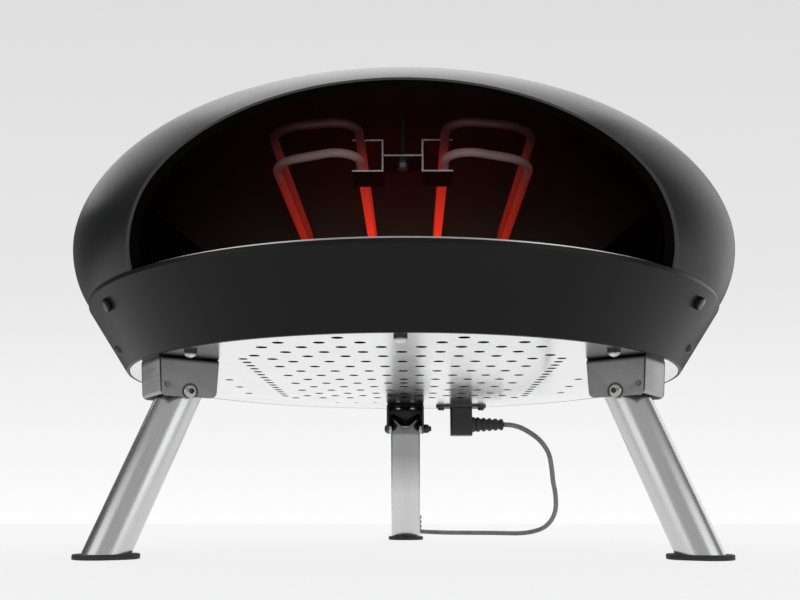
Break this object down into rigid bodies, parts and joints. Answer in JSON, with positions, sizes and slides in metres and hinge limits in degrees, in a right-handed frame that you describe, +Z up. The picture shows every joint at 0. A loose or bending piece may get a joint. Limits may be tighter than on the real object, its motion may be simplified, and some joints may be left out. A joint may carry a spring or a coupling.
{
  "type": "electric pizza oven",
  "caption": "Domed electric pizza oven with an open mouth, ceiling heaters, a baking stone, a perforated base and folding splayed tube legs, with its plug-in lead.",
  "frame": {"origin": "on the surface the feet stand on, under the middle of the oven's footprint, lead left out", "axes": "+Z up, -Y out of the mouth, +X to the right of someone who stands before the mouth and looks in"},
  "size_m": [0.622, 0.9356, 0.415],
  "materials": {
    "charcoal_paint": "matte, fine-textured powder coat",
    "black_enamel": "satin black vitreous enamel",
    "liner_enamel": "dark enamel, lit dull red by the heaters",
    "mineral_wool": "felted fibre",
    "galvanised_steel": "zinc coated",
    "tray_steel": "satin",
    "seal_rubber": "matte",
    "black_oxide_steel": "satin black",
    "polished_steel": "bright, softly mirroring",
    "plated_steel": "bright plated",
    "baking_stone": "matte, lightly speckled",
    "heater_sheath": "oxidised tube, glowing orange red, emissive",
    "base_heater_sheath": "oxidised tube",
    "scaled_steel": "heat-tinted sheet",
    "terminal_ceramic": "matte",
    "control_ceramic": "matte",
    "wire_insulation": "braided sleeve",
    "inlet_plastic": "fine matte",
    "brushed_stainless": "brushed along the length",
    "foot_rubber": "matte",
    "connector_plastic": "fine matte",
    "cord_jacket": "matte",
    "tie_plastic": "satin",
    "plug_plastic": "fine matte"
  },
  "bodies": {
    "oven": {"outer_dome": "charcoal_paint", "mouth_frame": "black_enamel", "dome_insulation": "mineral_wool", "ceiling_liner": "liner_enamel", "cavity_wall": "black_enamel", "joining_ring": "galvanised_steel", "floor_tray": "tray_steel", "tray_gasket": "seal_rubber", "floor_frame": "galvanised_steel", "skirt": "charcoal_paint", "skirt_tabs": "galvanised_steel", "skirt_bolts": "black_oxide_steel", "skirt_screws": "black_oxide_steel", "bottom_plate": "polished_steel", "plate_bolts": "plated_steel", "plate_nuts": "plated_steel", "stone_rests": "plated_steel", "heater_upper_left": "heater_sheath", "heater_upper_right": "heater_sheath", "heater_lower_left": "heater_sheath", "heater_lower_right": "heater_sheath", "heater_bracket": "scaled_steel", "hanger_stud": "galvanised_steel", "hanger_nut": "galvanised_steel", "base_heater": "base_heater_sheath", "base_heater_clips": "galvanised_steel", "base_insulation": "mineral_wool", "heat_shield": "galvanised_steel", "terminal_block": "terminal_ceramic", "terminal_screws": "black_oxide_steel", "thermostat": "control_ceramic", "thermal_cutout": "control_ceramic", "internal_wiring": "wire_insulation", "mains_inlet": "inlet_plastic", "inlet_screws": "black_oxide_steel", "bracket_left": "brushed_stainless", "bracket_right": "brushed_stainless", "bracket_rear": "brushed_stainless", "bracket_bolts": "plated_steel", "bracket_nuts": "plated_steel", "pivot_bolts": "plated_steel", "pivot_nuts": "plated_steel", "stop_pins": "plated_steel", "cord_connector": "connector_plastic", "cord_run": "cord_jacket", "cord_hank": "cord_jacket", "cord_tail": "cord_jacket", "cord_tie": "tie_plastic", "wall_plug": "plug_plastic"},
    "leg_left": {"leg_tube_left": "brushed_stainless", "leg_sleeve_left": "plated_steel", "foot_pad_left": "foot_rubber"},
    "leg_right": {"leg_tube_right": "brushed_stainless", "leg_sleeve_right": "plated_steel", "foot_pad_right": "foot_rubber"},
    "leg_rear": {"leg_tube_rear": "brushed_stainless", "leg_sleeve_rear": "plated_steel", "foot_pad_rear": "foot_rubber"},
    "stone": {"baking_stone": "baking_stone"}
  },
  "joints": [
    {"name": "leg_left_fold", "type": "hinge", "parent": "oven", "child": "leg_left", "pos_m": [-0.18431, -0.13756, 0.1305], "axis": [0.5736, -0.8192, 0], "range_deg": [0, 112.5]},
    {"name": "leg_right_fold", "type": "hinge", "parent": "oven", "child": "leg_right", "pos_m": [0.18431, -0.13756, 0.1305], "axis": [0.5736, 0.8192, 0], "range_deg": [0, 112.5]},
    {"name": "leg_rear_fold", "type": "hinge", "parent": "oven", "child": "leg_rear", "pos_m": [0, 0.2165, 0.1305], "axis": [-1, 0, 0], "range_deg": [0, 112.5]},
    {"name": "stone_slide", "type": "slide", "parent": "oven", "child": "stone", "axis": [0, -1, 0], "range_m": [0, 0.4]}
  ]
}
